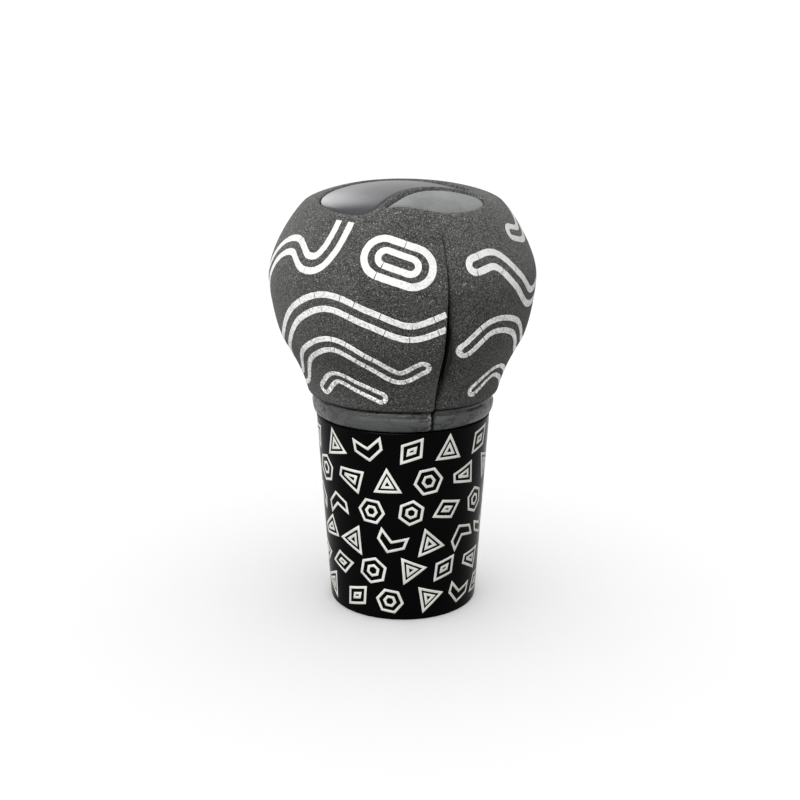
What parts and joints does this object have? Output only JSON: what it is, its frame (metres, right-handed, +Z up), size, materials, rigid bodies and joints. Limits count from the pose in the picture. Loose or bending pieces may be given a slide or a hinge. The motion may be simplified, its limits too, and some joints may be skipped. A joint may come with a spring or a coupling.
{
  "type": "gear shift knob",
  "caption": "Padded bulb head with two smooth crown inlays on a clamp-on stem, with a leather neck band and a push-on tapered collar.",
  "frame": {"origin": "on the knob's axis, at the foot of the collar", "axes": "+Z up along the axis towards the crown; the seams of the suede lie in the plane x = 0, and the front one, above the band's butt joint, faces -Y"},
  "size_m": [0.052, 0.052, 0.0847],
  "materials": {
    "collar_black": "gloss black anodised",
    "core_plastic": "moulded",
    "suede": "napped",
    "inlay_gloss": "metallic gloss",
    "inlay_satin": "metallic satin",
    "band_leather": "fine grain",
    "stem_metal": "turned",
    "bush_plastic": "moulded",
    "screw_steel": "black oxide",
    "ring_rubber": "smooth"
  },
  "bodies": {
    "collar": {"collar": "collar_black"},
    "head": {"core_left": "core_plastic", "core_right": "core_plastic", "cover_left": "suede", "cover_right": "suede", "top_inlay_left": "inlay_gloss", "top_inlay_right": "inlay_satin", "trim_band": "band_leather", "stem_insert": "stem_metal", "reducer_bush": "bush_plastic", "o_ring": "ring_rubber"},
    "screw_1": {"grub_screw_1": "screw_steel"},
    "screw_2": {"grub_screw_2": "screw_steel"},
    "screw_3": {"grub_screw_3": "screw_steel"}
  },
  "joints": [
    {"name": "collar_release", "type": "slide", "parent": "collar", "child": "head", "axis": [0, 0, 1], "range_m": [0, 0.045]},
    {"name": "screw_1_wind", "type": "slide", "parent": "head", "child": "screw_1", "axis": [0, -1, 0], "range_m": [0, 0.0014]},
    {"name": "screw_2_wind", "type": "slide", "parent": "head", "child": "screw_2", "axis": [0.866, 0.5, 0], "range_m": [0, 0.0014]},
    {"name": "screw_3_wind", "type": "slide", "parent": "head", "child": "screw_3", "axis": [-0.866, 0.5, 0], "range_m": [0, 0.0014]}
  ]
}
